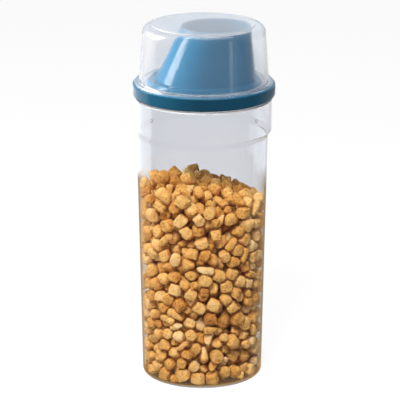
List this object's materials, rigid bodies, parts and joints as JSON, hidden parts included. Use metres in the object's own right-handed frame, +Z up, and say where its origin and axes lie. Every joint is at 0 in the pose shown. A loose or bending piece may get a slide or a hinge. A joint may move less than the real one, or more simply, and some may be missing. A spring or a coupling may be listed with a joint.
{
  "type": "dog treat container",
  "caption": "Clear tapered jar of kibble with a push-on blue pouring lid and a clear measuring cup over the spout.",
  "frame": {"origin": "on the neck's axis, on the surface that the jar stands on", "axes": "+Z up along the neck's axis; -Y is the front that the picture shows; +X is the side that the spout leans to"},
  "size_m": [0.115, 0.115, 0.2935],
  "materials": {
    "clear_jar": "gloss",
    "blue_lid": "gloss",
    "seal": "matte",
    "clear_cup": "gloss",
    "kibble": "matte"
  },
  "bodies": {
    "jar": {"jar": "clear_jar", "barrel_kibble": "kibble", "pillow_kibble": "kibble", "oval_kibble": "kibble", "disc_kibble": "kibble", "rod_kibble": "kibble", "crumb_kibble": "kibble"},
    "lid_seal": {"lid_seal": "seal"},
    "lid": {"pour_lid": "blue_lid"},
    "cup_seal": {"cup_seal": "seal"},
    "cup": {"measuring_cup": "clear_cup"}
  },
  "joints": [
    {"name": "lid_lift", "type": "slide", "parent": "jar", "child": "lid_seal", "axis": [0, 0, 1], "range_m": [0, 0.06]},
    {"name": "lid_turn", "type": "hinge", "parent": "lid_seal", "child": "lid", "pos_m": [0, 0, 0.2386], "axis": [0, 0, 1], "continuous": true},
    {"name": "cup_turn", "type": "hinge", "parent": "lid", "child": "cup_seal", "pos_m": [0, 0, 0.2457], "axis": [0, 0, 1], "continuous": true},
    {"name": "cup_lift", "type": "slide", "parent": "cup_seal", "child": "cup", "axis": [0, 0, 1], "range_m": [0, 0.06]}
  ]
}
